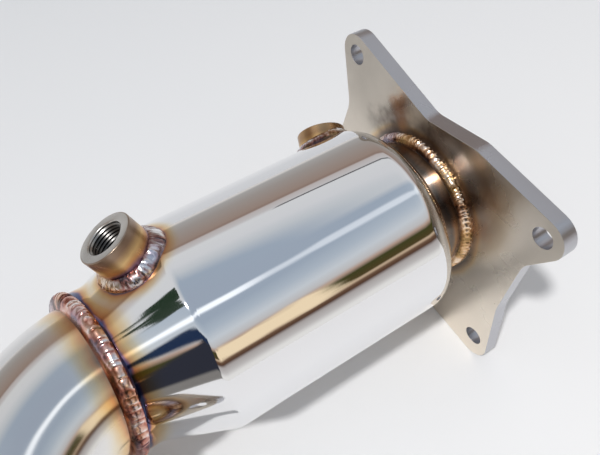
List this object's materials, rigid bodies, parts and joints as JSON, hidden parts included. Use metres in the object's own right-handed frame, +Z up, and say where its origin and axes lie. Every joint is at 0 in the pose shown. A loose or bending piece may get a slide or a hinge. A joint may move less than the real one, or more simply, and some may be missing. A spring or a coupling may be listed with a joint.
{
  "type": "turbo downpipe",
  "caption": "Turbo downpipe with a flanged inlet plate, a catalytic converter can, sensor bungs and a bent outlet pipe ending in an oval flange.",
  "frame": {"origin": "centre of the turbo flange's mating face", "axes": "+X out of the turbo flange's mating face, towards the turbo; +Z up as the part lies on a bench, along the plate's shorter bolt spacing"},
  "size_m": [0.3105, 0.2078, 0.1268],
  "materials": {
    "plate_steel": "satin, ground plate",
    "gold_weld": "heat-tinted weld",
    "plain_weld": "dull weld",
    "polished_steel": "mirror polished stainless",
    "mat": "fibre mat",
    "mesh": "knitted wire",
    "substrate": "matt ceramic with a washcoat",
    "bronzed_steel": "turned, heat tinted",
    "violet_weld": "heat-tinted weld",
    "turned_steel": "turned",
    "rose_weld": "heat-tinted weld"
  },
  "bodies": {
    "root": {"turbo_flange": "plate_steel", "flange_weld": "gold_weld", "seal_weld": "plain_weld", "converter_shell": "polished_steel", "support_mat": "mat", "front_mesh_ring": "mesh", "rear_mesh_ring": "mesh", "catalyst_core": "substrate", "front_sensor_bung": "bronzed_steel", "front_bung_weld": "violet_weld", "rear_sensor_bung": "turned_steel", "rear_bung_weld": "violet_weld", "pipe_weld": "rose_weld", "outlet_pipe": "polished_steel", "outlet_weld": "gold_weld", "outlet_seal_weld": "plain_weld", "outlet_flange": "plate_steel"}
  },
  "joints": []
}
